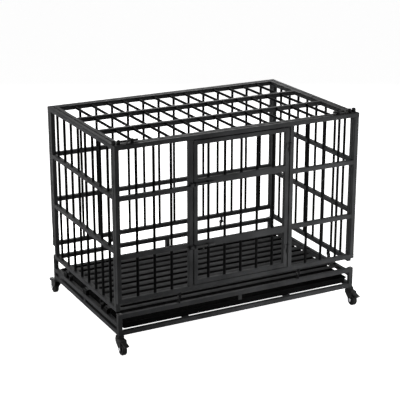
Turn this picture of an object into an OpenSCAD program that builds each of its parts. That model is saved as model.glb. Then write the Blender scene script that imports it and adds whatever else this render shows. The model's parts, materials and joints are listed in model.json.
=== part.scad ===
// Heavy duty dog crate on casters: tube and bar panels on a base with a slatted floor and a pull-out tray.
// Millimetres, Z up, X along the length, front at -Y, origin on the floor below the middle.

/* [Crate] */
// length over the corner posts
crate_l = 1068; // [980:1:1200]
// depth over the corner posts
crate_d = 676; // [620:1:760]
// height from the leg ends to the top rails
frame_h = 752; // [720:1:860]
// height of the leg ends above the floor
caster_h = 72; // [72:1:90]

/* [Tubes and bars] */
// outer size of the square tubes
tube = 17.5; // [15:0.5:18]
// corner radius of the tubes
edge_r = 1.8; // [1:0.1:3]
// diameter of the round bars
bar_d = 10.5; // [8:0.5:12]
// spacing of the upright bars
bar_pitch = 71.75; // [68:0.25:75]
// spacing of the lid bars
lid_pitch = 71.4; // [68:0.1:75]

/* [Base] */
// top of the front upper rail above the leg ends
rail_front = 86; // [84:0.5:96]
// height step between the panels that fold over one another
fold_step = 18.5; // [17:0.5:19]
// gap that the hinge pegs bridge between base and panel
peg_h = 44; // [40:1:50]
// distance of the tray runners from the middle
runner_x = 232; // [150:1:320]
// width of a floor slat
slat_w = 33; // [25:1:40]
// thickness of the floor sheet
slat_t = 2; // [1.5:0.5:3]
// thickness of the floor bearers
bearer_t = 3.5; // [2:0.5:5]
// width of the floor's end strips
strip_w = 24; // [15:1:40]
// width of the floor bearers
bearer_w = 30; // [20:1:32]
// room between the floor bearers and the side pegs
bearer_room = 10; // [6:1:14]
// room between the floor and the panels at its ends
floor_room = 13; // [8:0.5:16]
// distance of the floor's long edges from the outside of the base
floor_side = 68; // [40:1:80]
// least width of the floor's long strips
strip_least = 15; // [12:1:25]
// height of the tray guide below the front rail
tab_h = 23; // [15:1:26]
// width of the tray guide
tab_w = 15; // [10:1:20]
// thickness of the tray guide
tab_t = 3; // [2:0.5:4]
// spacing of the floor slats
slat_pitch = 52.3; // [45:0.1:54]

/* [Tray] */
// height of the tray
tray_h = 27; // [15:1:27]
// wall of the tray
tray_t = 2.5; // [2:0.5:4]
// how much the walls lean out to the rim
tray_lean = 6; // [4:1:22]
// room between the tray's rim and the legs
tray_side = 4; // [3:1:20]
// distance of the tray's rim from the front of the base
tray_front = 11; // [6:1:14]
// room between the tray's rim and the back rails
tray_rear = 2; // [1:0.5:6]
// clearance under the tray
tray_clear = 0.3; // [0.3:0.1:1]

/* [Panels] */
// room between neighbouring panels
panel_gap = 2; // [1:0.5:3]
// half width of the doorway
doorway = 214; // [205:0.5:220]
// lower and upper rail of the side panels above the leg ends
side_mid = [334, 548.5];
// lower and upper rail of the back panel above the leg ends
back_mid = [353, 548];
// lower and upper rail of the front sections above the leg ends
front_mid = [316, 547];
// distance of the front and back pegs from the middle
peg_x = 270; // [200:1:350]
// distance of the side pegs from the middle
peg_y = 163; // [100:1:220]
// thickness of a hinge lug
lug_t = 4.5; // [3:0.5:6]
// radius of a hinge lug's round end
lug_r = 7; // [6:0.5:8]
// radius of the panel hinge bolts
lug_pin_r = 3; // [2.5:0.1:3.5]

/* [Door] */
// room at each side of the door
door_gap = 4; // [3:0.5:7]
// room above and below the door
door_gap_z = 3; // [2:0.5:6]
// height of the two broad lock rails
lock_h = 26; // [20:1:40]
// underside of the lock rails above the leg ends
lock_z = [300, 552.5];
// middle of the door hinges above the leg ends
door_hinge_z = [230, 651.5];
// radius of the door hinge barrels
barrel_r = 5.5; // [5:0.1:6]
// length of one half of a hinge barrel
barrel_l = 18; // [12:1:24]
// width of a door hinge leaf
leaf_w = 16; // [12:1:18]
// thickness of a door hinge leaf
leaf_t = 3; // [2:0.5:4]
// radius of the hinge pins
pin_r = 3; // [2.5:0.1:3.2]

/* [Lid] */
// distance of the lid's inner rails from the middle
lid_rail_y = 102; // [80:1:130]
// how far the lid stands proud of the top rails
lid_proud = 0.4; // [0.4:0.1:1]
// room behind the lid, in which its back rail turns
lid_room = 3.5; // [3:0.5:6]
// radius of the lid's pivot pins
pivot_r = 4; // [3:0.1:5]
// reach of a pivot pin into the lid's back rail
pivot_l = 14; // [10:1:20]

/* [Bolts] */
// radius of the sliding bolts
bolt_r = 4; // [3.5:0.1:4.5]
// travel of a lid bolt
lid_throw = 20; // [18:0.5:21]
// travel of a door bolt
door_throw = 22; // [20:0.5:22]
// thickness of the bolt guides
guide_t = 8; // [6:0.5:8]
// wall of guides and keepers round the bore
guide_wall = 3; // [2.5:0.5:4]
// place of the inner lid guides from the lid's ends
lid_guide_in = 60; // [58:1:70]
// place of the inner door guides from the door's edge
door_guide_in = 57; // [55:1:65]
// drop of the door bolts below the middle of the lock rails
bolt_drop = 4; // [0:0.5:5]
// length of the bolts' knobs
knob_l = 18; // [14:1:20]
// radius of the bolts' knobs
knob_r = 3; // [2.5:0.1:3.5]

/* [Casters] */
// wheel diameter
wheel_d = 48; // [44:1:50]
// wheel width
wheel_w = 20; // [16:1:22]
// offset of the wheel behind the stem
trail = 24; // [20:1:26]
// radius of the stem
stem_r = 5; // [4:0.1:5.5]
// height of the stem inside the leg
stem_l = 32; // [20:1:40]
// radius of the swivel head
race_r = 17; // [14:0.5:18]
// thickness of a fork cheek
cheek_t = 2.5; // [2:0.5:3]
// radius of the axle
axle_r = 4; // [3:0.1:4.5]
// reach of the brake pedal from its pivot
pedal_l = 45; // [30:1:50]
// height of the brake pedal's pivot above the axle
pivot_h = 32; // [30:0.5:33]
// slope of the brake pedal
pedal_tilt = 10; // [8:1:24]

/* [Fits] */
// radial clearance of pins in their bores
pin_clear = 0.05; // [0.02:0.01:0.1]
// radial clearance of a bolt in its keeper
keep_clear = 0.3; // [0.2:0.05:0.5]
// clearance between faces that pass each other
run_clear = 0.3; // [0.3:0.05:0.6]
// joint line at each end of a welded tube or bar
weld_line = 0.02; // [0.01:0.01:0.05]

/* [Hidden] */
z0 = caster_h;
top = caster_h + frame_h;
hx = crate_l / 2;
hy = crate_d / 2;
px = hx - tube / 2;
py = hy - tube / 2;
ht = tube / 2;
rail_top = [z0 + rail_front - 2 * fold_step, z0 + rail_front - fold_step, z0 + rail_front,
            z0 + rail_front + fold_step];
side_y = hy - tube - panel_gap;
floor_z = rail_top[1];
floor_y = hy - floor_side;
door_x = doorway - door_gap;
back_n = 2 * floor((hx - tube - bar_d) / bar_pitch + 0.5);
side_n = 2 * floor((side_y - tube - bar_d) / bar_pitch + 0.5);
front_n = round((hx - doorway - 2 * tube) / bar_pitch) - 1;
door_n = floor((door_x - tube - bar_d) / bar_pitch);
slot_w = slat_pitch - slat_w;
slat_n = floor((floor_y - strip_least - slot_w - slat_w / 2) / slat_pitch);
strip_y = slat_n * slat_pitch + slat_w / 2 + slot_w;
slot_x = hx - tube - floor_room - strip_w;
peg_zone = bearer_w / 2 + lug_t + run_clear + bearer_room;
bearer_n = max([for (i = [1 : slat_n]) if (abs(i * slat_pitch - peg_y) > peg_zone) i]);
door_z0 = rail_top[2] + peg_h + tube + door_gap_z;
door_z1 = top - tube - door_gap_z;
hinge_x = doorway - door_gap / 2;
hinge_y = -hy - barrel_r;
lid_x = hx - tube - panel_gap;
lid_n = floor((lid_x - tube - bar_d) / lid_pitch);
lid_top = top + lid_proud;
lid_mid = lid_top - ht;
lid_back = hy - tube - lid_room;
lid_bolt_z = lid_top + bolt_r + guide_wall;
lid_bolt_y = -side_y + ht;
door_bolt_y = -hy - bolt_r - guide_wall;
caster_at = [[-px, -py, 0], [px, -py, 0], [-px, py, 180], [px, py, 180]];
axle_z = wheel_d / 2;
race_z = z0 - run_clear;
race_h = 9;
cheek_in = wheel_w / 2 + 1.5;
pivot = [-trail, axle_z + pivot_h];
pegs = [[-peg_x, -py, rail_top[2], 0], [peg_x, -py, rail_top[2], 0],
        [-peg_x, py, rail_top[3], 0], [peg_x, py, rail_top[3], 0],
        [-px, -peg_y, rail_top[0], 90], [-px, peg_y, rail_top[0], 90],
        [px, -peg_y, rail_top[1], 90], [px, peg_y, rail_top[1], 90]];
frame_col = [0.2, 0.2, 0.21];
black = [0.06, 0.06, 0.06];
zinc = [0.6, 0.6, 0.62];
$fn = 32;

// square tube outline with round corners
module outline(w, h) {
  square([w, h - 2 * edge_r], center = true);
  square([w - 2 * edge_r, h], center = true);
  for (sx = [-1, 1])
    for (sy = [-1, 1])
      translate([sx * (w / 2 - edge_r), sy * (h / 2 - edge_r)])
        circle(r = edge_r, $fn = 16);
}

module tube_x(x0, x1, y, z, h = tube) {
  translate([x0 + weld_line, y, z])
    rotate([90, 0, 90])
      linear_extrude(height = x1 - x0 - 2 * weld_line)
        outline(tube, h);
}

module tube_y(y0, y1, x, z) {
  translate([x, y0 + weld_line, z])
    rotate([-90, 0, 0])
      linear_extrude(height = y1 - y0 - 2 * weld_line)
        outline(tube, tube);
}

module tube_z(z0, z1, x, y) {
  translate([x, y, z0 + weld_line])
    linear_extrude(height = z1 - z0 - 2 * weld_line)
      outline(tube, tube);
}

module bar_z(z0, z1, x, y) {
  translate([x, y, z0 + weld_line])
    cylinder(r = bar_d / 2, h = z1 - z0 - 2 * weld_line, $fn = 16);
}

module bar_y(y0, y1, x, z) {
  translate([x, y0 + weld_line, z])
    rotate([-90, 0, 0])
      cylinder(r = bar_d / 2, h = y1 - y0 - 2 * weld_line, $fn = 16);
}

module rod_x(x0, x1, y, z, r) {
  translate([x0, y, z])
    rotate([0, 90, 0])
      cylinder(r = r, h = x1 - x0);
}

// upright bars in segments between a panel's rails
module bar_stack(x, y, bottom, mids) {
  bar_z(bottom + tube, z0 + mids[0] - ht, x, y);
  bar_z(z0 + mids[0] + ht, z0 + mids[1] - ht, x, y);
  bar_z(z0 + mids[1] + ht, top - tube, x, y);
}

module leg(x, y, height) {
  difference() {
    tube_z(z0, height, x, y);
    translate([x, y, z0 - 1])
      cylinder(r = stem_r + pin_clear, h = stem_l + 2);
  }
}

module base_end(s, upper) {
  color(frame_col) {
    leg(s * px, -py, rail_top[2]);
    leg(s * px, py, rail_top[3]);
    tube_y(-hy + tube, hy - tube, s * px, z0 + ht);
    tube_y(-hy + tube, hy - tube, s * px, upper - ht);
    tube_z(z0 + tube, upper - tube, s * px, 0);
  }
}

module base_end_left() {
  base_end(-1, rail_top[0]);
}

module base_end_right() {
  base_end(1, rail_top[1]);
}

module base_rail_front_upper() {
  color(frame_col) {
    tube_x(-hx + tube, hx - tube, -py, rail_top[2] - ht);
    translate([-tab_w / 2, -py - tab_t / 2, rail_top[2] - tube - tab_h - weld_line])
      cube([tab_w, tab_t, tab_h]);
  }
}

module base_rail_front_lower() {
  color(frame_col)
    tube_x(-hx + tube, hx - tube, -py, z0 + ht);
}

module base_rail_back_upper() {
  color(frame_col) {
    tube_x(-hx + tube, hx - tube, py, rail_top[3] - ht);
    tube_z(z0 + tube, rail_top[3] - tube, 0, py);
  }
}

module base_rail_back_lower() {
  color(frame_col)
    tube_x(-hx + tube, hx - tube, py, z0 + ht);
}

module tray_runners() {
  color(frame_col)
    for (s = [-1, 1])
      tube_y(-hy + tube, hy - tube, s * runner_x, z0 + ht);
}

module leg_cap(x, y, z) {
  translate([x, y, z])
    linear_extrude(height = 1.2)
      outline(tube, tube);
  translate([x, y, z + 1.2])
    rotate_extrude()
      polygon([[0, 0], [6, 0], [5, 1], [3, 1.6], [0, 1.8]]);
}

module leg_caps() {
  color(black)
    for (s = [-1, 1]) {
      leg_cap(s * px, -py, rail_top[2]);
      leg_cap(s * px, py, rail_top[3]);
    }
}

// slotted sheet: slats between two end strips and two long strips
module floor_slats() {
  z = floor_z + bearer_t;
  color(frame_col) {
    for (i = [-slat_n : slat_n])
      translate([-slot_x + weld_line, i * slat_pitch - slat_w / 2, z])
        cube([2 * (slot_x - weld_line), slat_w, slat_t]);
    for (y = [-floor_y, strip_y])
      translate([-slot_x + weld_line, y, z])
        cube([2 * (slot_x - weld_line), floor_y - strip_y, slat_t]);
    for (x = [-slot_x - strip_w, slot_x])
      translate([x, -floor_y, z])
        cube([strip_w, 2 * floor_y, slat_t]);
  }
}

// flat bars under the slats, from the right rail to feet on the left rail
module floor_bearers() {
  color(frame_col)
    for (k = [-1, 0, 1])
      translate([0, k * bearer_n * slat_pitch - bearer_w / 2, floor_z]) {
        translate([-px, 0, 0])
          cube([2 * px, bearer_w, bearer_t]);
        translate([-px - ht + edge_r, 0, rail_top[0] - floor_z])
          cube([tube - 2 * edge_r, bearer_w, floor_z - rail_top[0] - weld_line]);
      }
}

// block that widens from its foot to its rim
module flare(x0, y0, x1, y1, height) {
  hull() {
    translate([-x0, -y0, 0])
      cube([2 * x0, 2 * y0, 0.01]);
    translate([-x1, -y1, height - 0.01])
      cube([2 * x1, 2 * y1, 0.01]);
  }
}

module tray() {
  rx = hx - tube - tray_side;
  ry = hy - (tray_front + tube + tray_rear) / 2;
  color(black)
    translate([0, (tray_front - tube - tray_rear) / 2, z0 + tube + tray_clear])
      difference() {
        union() {
          flare(rx - 2 - tray_lean, ry - 2 - tray_lean, rx - 2, ry - 2, tray_h - 1);
          translate([-rx, -ry, tray_h - 2])
            cube([2 * rx, 2 * ry, 2]);
        }
        translate([0, 0, tray_t])
          flare(rx - 2 - tray_lean - tray_t, ry - 2 - tray_lean - tray_t, rx - 2 - tray_t, ry - 2 - tray_t,
                tray_h);
      }
}

module front_section(s) {
  pb = rail_top[2] + peg_h;
  color(frame_col) {
    tube_z(pb + tube, top - tube, s * px, -py);
    tube_z(pb + tube, top - tube, s * (doorway + ht), -py);
    for (m = front_mid)
      tube_x(s > 0 ? doorway + tube : -hx + tube, s > 0 ? hx - tube : -doorway - tube, -py, z0 + m);
  }
}

module front_left_frame() {
  front_section(-1);
}

module front_right_frame() {
  front_section(1);
}

module front_top_rail() {
  color(frame_col)
    tube_x(-hx, hx, -py, top - ht);
}

module front_bottom_rail() {
  color(frame_col)
    tube_x(-hx, hx, -py, rail_top[2] + peg_h + ht);
}

module front_bars(s) {
  mid = (doorway + hx) / 2;
  color(frame_col)
    for (i = [0 : front_n - 1])
      bar_stack(s * (mid + (i - (front_n - 1) / 2) * bar_pitch), -py, rail_top[2] + peg_h, front_mid);
}

module front_left_bars() {
  front_bars(-1);
}

module front_right_bars() {
  front_bars(1);
}

module back_frame() {
  pb = rail_top[3] + peg_h;
  color(frame_col) {
    tube_x(-hx, hx, py, top - ht);
    tube_x(-hx, hx, py, pb + ht);
    for (s = [-1, 1])
      tube_z(pb + tube, top - tube, s * px, py);
    for (m = back_mid)
      tube_x(-hx + tube, hx - tube, py, z0 + m);
  }
}

module back_bars() {
  color(frame_col)
    for (i = [0 : back_n - 1])
      bar_stack((i - (back_n - 1) / 2) * bar_pitch, py, rail_top[3] + peg_h, back_mid);
}

module side_frame(s, pb) {
  color(frame_col) {
    tube_y(-side_y, side_y, s * px, top - ht);
    tube_y(-side_y, side_y, s * px, pb + ht);
    for (t = [-1, 1])
      tube_z(pb + tube, top - tube, s * px, t * (side_y - ht));
    for (m = side_mid)
      tube_y(-side_y + tube, side_y - tube, s * px, z0 + m);
  }
}

module side_bars(s, pb) {
  color(frame_col)
    for (i = [0 : side_n - 1])
      bar_stack(s * px, (i - (side_n - 1) / 2) * bar_pitch, pb, side_mid);
}

module left_frame() {
  side_frame(-1, rail_top[0] + peg_h);
}

module left_bars() {
  side_bars(-1, rail_top[0] + peg_h);
}

module right_frame() {
  side_frame(1, rail_top[1] + peg_h);
}

module right_bars() {
  side_bars(1, rail_top[1] + peg_h);
}

// hinge lug that stands on a rail, with its bore half way up the gap
module lug() {
  rotate([90, 0, 90])
    difference() {
      linear_extrude(height = lug_t)
        union() {
          translate([-lug_r, 0])
            square([2 * lug_r, peg_h / 2]);
          translate([0, peg_h / 2])
            circle(r = lug_r);
        }
      translate([0, peg_h / 2, -1])
        cylinder(r = lug_pin_r + pin_clear, h = lug_t + 2);
    }
}

module panel_hinge_lugs_base() {
  color(frame_col)
    for (p = pegs)
      translate([p[0], p[1], p[2]])
        rotate([0, 0, p[3]])
          translate([-lug_t - run_clear / 2, 0, 0])
            lug();
}

module panel_hinge_lugs_panel() {
  color(frame_col)
    for (p = pegs)
      translate([p[0], p[1], p[2] + peg_h])
        rotate([0, 0, p[3]])
          translate([run_clear / 2, 0, 0])
            mirror([0, 0, 1])
              lug();
}

module panel_hinge_bolts() {
  w = lug_t + run_clear / 2;
  color(zinc)
    for (p = pegs)
      translate([p[0], p[1], p[2] + peg_h / 2])
        rotate([0, 0, p[3]]) {
          rod_x(-w, w, 0, 0, lug_pin_r);
          rod_x(-w - 3, -w, 0, 0, lug_pin_r + 2.5);
          rod_x(w, w + 3.5, 0, 0, lug_pin_r + 2.5);
        }
}

module lid_frame() {
  color(frame_col) {
    tube_x(-lid_x, lid_x, -side_y + ht, lid_mid);
    difference() {
      tube_x(-lid_x, lid_x, lid_back - ht, lid_mid);
      for (x = [-lid_x - 1, lid_x - pivot_l])
        rod_x(x, x + pivot_l + 1, lid_back - ht, lid_mid, pivot_r + pin_clear);
    }
    for (s = [-1, 1]) {
      tube_y(-side_y + tube, lid_back - tube, s * (lid_x - ht), lid_mid);
      tube_x(-lid_x + tube, lid_x - tube, s * lid_rail_y, lid_mid);
    }
  }
}

module lid_bars() {
  color(frame_col)
    for (i = [-lid_n : lid_n]) {
      bar_y(-side_y + tube, -lid_rail_y - ht, i * lid_pitch, lid_mid);
      bar_y(-lid_rail_y + ht, lid_rail_y - ht, i * lid_pitch, lid_mid);
      bar_y(lid_rail_y + ht, lid_back - tube, i * lid_pitch, lid_mid);
    }
}

// pins on the side panels' top rails, in the ends of the lid's back rail
module lid_pivot_pins() {
  reach = panel_gap + pivot_l - 1;
  color(zinc)
    for (x = [-hx + tube, hx - tube - reach])
      rod_x(x, x + reach, lid_back - ht, lid_mid, pivot_r);
}

// guide block with a bore along X and a foot that reaches down or back
module lid_guide(x0, w, bore, foot) {
  difference() {
    union() {
      rod_x(x0, x0 + w, lid_bolt_y, lid_bolt_z, bolt_r + guide_wall);
      translate([x0, lid_bolt_y - bolt_r - guide_wall, foot])
        cube([w, 2 * (bolt_r + guide_wall), lid_bolt_z - foot]);
    }
    rod_x(x0 - 1, x0 + w + 1, lid_bolt_y, lid_bolt_z, bolt_r + bore);
  }
}

module door_guide(x0, w, z, bore) {
  difference() {
    union() {
      rod_x(x0, x0 + w, door_bolt_y, z, bolt_r + guide_wall);
      translate([x0, door_bolt_y, z - bolt_r - guide_wall])
        cube([w, -hy - door_bolt_y, 2 * (bolt_r + guide_wall)]);
    }
    rod_x(x0 - 1, x0 + w + 1, door_bolt_y, z, bolt_r + bore);
  }
}

module lid_bolt_guides() {
  color(frame_col) {
    lid_guide(-lid_x + 5, guide_t, pin_clear, lid_top);
    lid_guide(-lid_x + lid_guide_in, guide_t, pin_clear, lid_top);
    lid_guide(lid_x - 5 - guide_t, guide_t, pin_clear, lid_top);
    lid_guide(lid_x - lid_guide_in - guide_t, guide_t, pin_clear, lid_top);
  }
}

module lid_bolt(s) {
  tail = lid_guide_in + guide_t + lid_throw;
  color(black) {
    rod_x(s > 0 ? lid_x - tail : -lid_x + 3, s > 0 ? lid_x - 3 : -lid_x + tail, lid_bolt_y, lid_bolt_z,
          bolt_r);
    translate([s * (lid_x - 5 - guide_t - lid_throw - knob_r - 2), lid_bolt_y, lid_bolt_z])
      rotate([90, 0, 0])
        cylinder(r = knob_r, h = knob_l - 1);
  }
}

module lid_bolt_left() {
  lid_bolt(-1);
}

module lid_bolt_right() {
  lid_bolt(1);
}

// staple on the side panel's top rail that the lid bolt runs into
module lid_keepers() {
  inner = bolt_r + keep_clear;
  color(frame_col)
    for (s = [-1, 1])
      translate([s * px - 5, lid_bolt_y, top]) {
        for (t = [-inner - guide_wall, inner])
          translate([0, t, 0])
            cube([10, guide_wall, lid_bolt_z - top + inner]);
        translate([0, -inner - guide_wall, lid_bolt_z - top + inner + weld_line])
          cube([10, 2 * (inner + guide_wall), guide_wall]);
      }
}

module door_frame() {
  color(frame_col) {
    for (s = [-1, 1])
      tube_z(door_z0, door_z1, s * (door_x - ht), -py);
    tube_x(-door_x + tube, door_x - tube, -py, door_z0 + ht);
    tube_x(-door_x + tube, door_x - tube, -py, door_z1 - ht);
    for (z = lock_z)
      tube_x(-door_x + tube, door_x - tube, -py, z0 + z + lock_h / 2, lock_h);
  }
}

module door_bars() {
  color(frame_col)
    for (i = [-door_n : door_n]) {
      bar_z(door_z0 + tube, z0 + lock_z[0], i * bar_pitch, -py);
      bar_z(z0 + lock_z[0] + lock_h, z0 + lock_z[1], i * bar_pitch, -py);
      bar_z(z0 + lock_z[1] + lock_h, door_z1 - tube, i * bar_pitch, -py);
    }
}

// upper half of a lift-off hinge, welded to the door stile
module door_hinge_leaves() {
  color(frame_col)
    for (z = door_hinge_z)
      translate([hinge_x, hinge_y, z0 + z + run_clear / 2])
        difference() {
          union() {
            cylinder(r = barrel_r, h = barrel_l);
            translate([-leaf_w, barrel_r - leaf_t, 0])
              cube([leaf_w, leaf_t, barrel_l]);
          }
          translate([0, 0, -1])
            cylinder(r = pin_r + pin_clear, h = barrel_l + 2);
        }
}

// lower half of a lift-off hinge with its pin, welded to the jamb
module jamb_hinge_knuckles() {
  color(frame_col)
    for (z = door_hinge_z)
      translate([hinge_x, hinge_y, z0 + z - run_clear / 2]) {
        translate([0, 0, -barrel_l])
          cylinder(r = barrel_r, h = barrel_l);
        translate([0, barrel_r - leaf_t, -barrel_l])
          cube([leaf_w, leaf_t, barrel_l]);
        cylinder(r = pin_r, h = barrel_l - 2);
      }
}

module door_bolt_guides() {
  color(frame_col)
    for (z = lock_z) {
      door_guide(-door_x + 2, guide_t, z0 + z + lock_h / 2 - bolt_drop, pin_clear);
      door_guide(-door_x + door_guide_in, guide_t, z0 + z + lock_h / 2 - bolt_drop, pin_clear);
    }
}

module door_bolt(z) {
  tail = door_guide_in + guide_t + door_throw;
  color(black) {
    rod_x(-door_x + 0.5, -door_x + tail, door_bolt_y, z0 + z + lock_h / 2 - bolt_drop, bolt_r);
    translate([-door_x + 2 + guide_t + door_throw + knob_r + 2, door_bolt_y,
               z0 + z + lock_h / 2 - bolt_drop - knob_l])
      cylinder(r = knob_r, h = knob_l);
  }
}

module door_bolt_upper() {
  door_bolt(lock_z[1]);
}

module door_bolt_lower() {
  door_bolt(lock_z[0]);
}

// staples on the left jamb that the door bolts run into
module door_keepers() {
  inner = bolt_r + keep_clear;
  reach = -hy - door_bolt_y + inner;
  color(frame_col)
    for (z = lock_z)
      translate([-doorway - tube + 1, -hy, z0 + z + lock_h / 2 - bolt_drop]) {
        for (t = [-inner - guide_wall, inner])
          translate([0, -reach, t])
            cube([tube - 2, reach, guide_wall]);
        translate([0, -reach - guide_wall - weld_line, -inner - guide_wall])
          cube([tube - 2, guide_wall, 2 * (inner + guide_wall)]);
      }
}

module caster_stems() {
  color(zinc)
    for (c = caster_at)
      translate([c[0], c[1], 0]) {
        translate([0, 0, race_z - race_h - 3])
          cylinder(r = stem_r, h = stem_l + race_h + run_clear + 3);
        translate([0, 0, race_z - race_h - run_clear - 3])
          cylinder(r = stem_r + 3, h = 3);
      }
}

module at_caster(i) {
  translate([caster_at[i][0], caster_at[i][1], 0])
    rotate([0, 0, caster_at[i][2]])
      children();
}

// one cheek of a fork, in the plane across the axle
module cheek() {
  difference() {
    linear_extrude(height = cheek_t)
      union() {
        polygon([[12, race_z - race_h], [-trail - 7, race_z - race_h], [-trail - 9, axle_z],
                 [-trail + 9, axle_z]]);
        translate([-trail, axle_z])
          circle(r = 9);
      }
    translate([-trail, axle_z, -1])
      cylinder(r = axle_r + pin_clear, h = cheek_t + 2);
  }
}

module caster_fork(i) {
  color(black)
    at_caster(i) {
      difference() {
        union() {
          translate([0, 0, race_z - race_h])
            cylinder(r = race_r, h = race_h);
          translate([-cheek_in - cheek_t, -trail - 7, race_z - race_h])
            cube([2 * (cheek_in + cheek_t), trail + 7, 3]);
        }
        translate([0, 0, race_z - race_h - 1])
          cylinder(r = stem_r + pin_clear, h = race_h + 2);
      }
      for (x = [-cheek_in - cheek_t, cheek_in])
        translate([x, 0, 0])
          rotate([90, 0, 90])
            cheek();
      rod_x(-cheek_in - cheek_t, cheek_in + cheek_t, pivot[0], pivot[1], 2.5);
    }
}

module caster_wheel(i) {
  color(black)
    at_caster(i)
      translate([0, -trail, axle_z])
        rotate([0, 90, 0])
          difference() {
            cylinder(r = wheel_d / 2, h = wheel_w, center = true, $fn = 64);
            cylinder(r = axle_r + pin_clear, h = wheel_w + 2, center = true);
          }
}

module caster_axle(i) {
  w = cheek_in + cheek_t;
  color(zinc)
    at_caster(i) {
      rod_x(-w, w, -trail, axle_z, axle_r);
      for (x = [-w - 3, w])
        rod_x(x, x + 3, -trail, axle_z, axle_r + 2.5);
    }
}

module caster_pedal(i) {
  color(black)
    at_caster(i)
      translate([0, pivot[0], pivot[1]])
        rotate([90, 0, 90])
          difference() {
            linear_extrude(height = wheel_w, center = true)
              union() {
                circle(r = 4.5);
                rotate(pedal_tilt)
                  polygon([[0, 3.4], [-pedal_l, 3], [-pedal_l - 1, 1.5], [-pedal_l, 0], [-20, -1.5],
                           [0, -3.2]]);
              }
            cylinder(r = 2.5 + pin_clear, h = wheel_w + 2, center = true);
          }
}

module caster_fork_fl() {
  caster_fork(0);
}

module caster_wheel_fl() {
  caster_wheel(0);
}

module caster_axle_fl() {
  caster_axle(0);
}

module caster_pedal_fl() {
  caster_pedal(0);
}

module caster_fork_fr() {
  caster_fork(1);
}

module caster_wheel_fr() {
  caster_wheel(1);
}

module caster_axle_fr() {
  caster_axle(1);
}

module caster_pedal_fr() {
  caster_pedal(1);
}

module caster_fork_bl() {
  caster_fork(2);
}

module caster_wheel_bl() {
  caster_wheel(2);
}

module caster_axle_bl() {
  caster_axle(2);
}

module caster_pedal_bl() {
  caster_pedal(2);
}

module caster_fork_br() {
  caster_fork(3);
}

module caster_wheel_br() {
  caster_wheel(3);
}

module caster_axle_br() {
  caster_axle(3);
}

module caster_pedal_br() {
  caster_pedal(3);
}

base_end_left();
base_end_right();
base_rail_front_upper();
base_rail_front_lower();
base_rail_back_upper();
base_rail_back_lower();
tray_runners();
leg_caps();
floor_slats();
floor_bearers();
tray();
front_left_frame();
front_right_frame();
front_top_rail();
front_bottom_rail();
front_left_bars();
front_right_bars();
back_frame();
back_bars();
left_frame();
left_bars();
right_frame();
right_bars();
panel_hinge_lugs_base();
panel_hinge_lugs_panel();
panel_hinge_bolts();
lid_frame();
lid_bars();
lid_pivot_pins();
lid_bolt_guides();
lid_bolt_left();
lid_bolt_right();
lid_keepers();
door_frame();
door_bars();
door_hinge_leaves();
jamb_hinge_knuckles();
door_bolt_guides();
door_bolt_upper();
door_bolt_lower();
door_keepers();
caster_stems();
caster_fork_fl();
caster_wheel_fl();
caster_axle_fl();
caster_pedal_fl();
caster_fork_fr();
caster_wheel_fr();
caster_axle_fr();
caster_pedal_fr();
caster_fork_bl();
caster_wheel_bl();
caster_axle_bl();
caster_pedal_bl();
caster_fork_br();
caster_wheel_br();
caster_axle_br();
caster_pedal_br();
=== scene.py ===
import json
import math

import bmesh
import bpy
from mathutils import Matrix, Vector


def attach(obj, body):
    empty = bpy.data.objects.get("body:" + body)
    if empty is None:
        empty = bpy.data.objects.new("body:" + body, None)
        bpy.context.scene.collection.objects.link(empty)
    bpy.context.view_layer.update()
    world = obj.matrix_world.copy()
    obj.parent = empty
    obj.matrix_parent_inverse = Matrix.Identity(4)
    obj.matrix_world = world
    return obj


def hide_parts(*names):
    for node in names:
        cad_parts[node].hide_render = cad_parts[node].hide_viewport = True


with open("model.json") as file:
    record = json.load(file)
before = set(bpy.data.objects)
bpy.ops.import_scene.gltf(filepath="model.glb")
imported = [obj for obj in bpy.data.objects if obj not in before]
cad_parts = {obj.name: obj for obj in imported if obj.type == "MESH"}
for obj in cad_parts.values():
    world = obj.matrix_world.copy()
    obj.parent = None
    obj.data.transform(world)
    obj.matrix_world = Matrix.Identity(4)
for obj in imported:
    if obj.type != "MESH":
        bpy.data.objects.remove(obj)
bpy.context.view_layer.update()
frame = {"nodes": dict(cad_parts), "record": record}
nodes = frame["nodes"]
print("stage: frame loaded,", len(nodes), "nodes")


# shader helpers

def newGroup(name, inputs, outputs):
    group = bpy.data.node_groups.new(name, "ShaderNodeTree")
    for label, kind, value in inputs:
        socket = group.interface.new_socket(label, in_out="INPUT", socket_type=kind)
        socket.default_value = value
    for label, kind in outputs:
        group.interface.new_socket(label, in_out="OUTPUT", socket_type=kind)
    return group, group.nodes.new("NodeGroupInput"), group.nodes.new("NodeGroupOutput")


def addNode(tree, kind, **values):
    node = tree.nodes.new(kind)
    for key, value in values.items():
        if hasattr(node, key):
            setattr(node, key, value)
        else:
            node.inputs[key].default_value = value
    return node


def noise(tree, coords, scale, detail=3.0, rough=0.5):
    node = tree.nodes.new("ShaderNodeTexNoise")
    node.inputs["Scale"].default_value = scale
    node.inputs["Detail"].default_value = detail
    node.inputs["Roughness"].default_value = rough
    tree.links.new(coords, node.inputs["Vector"])
    return node.outputs["Fac"]


def remap(tree, value, low, high, toLow, toHigh):
    node = tree.nodes.new("ShaderNodeMapRange")
    ends = {"From Min": low, "From Max": high, "To Min": toLow, "To Max": toHigh}
    for key, number in ends.items():
        node.inputs[key].default_value = number
    tree.links.new(value, node.inputs["Value"])
    return node.outputs["Result"]


def mixColor(tree, factor, first, second):
    node = tree.nodes.new("ShaderNodeMix")
    node.data_type = "RGBA"
    tree.links.new(factor, node.inputs[0])
    for socket, value in ((node.inputs[6], first), (node.inputs[7], second)):
        if isinstance(value, bpy.types.NodeSocket):
            tree.links.new(value, socket)
        else:
            socket.default_value = (*value, 1.0)
    return node.outputs[2]


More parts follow.
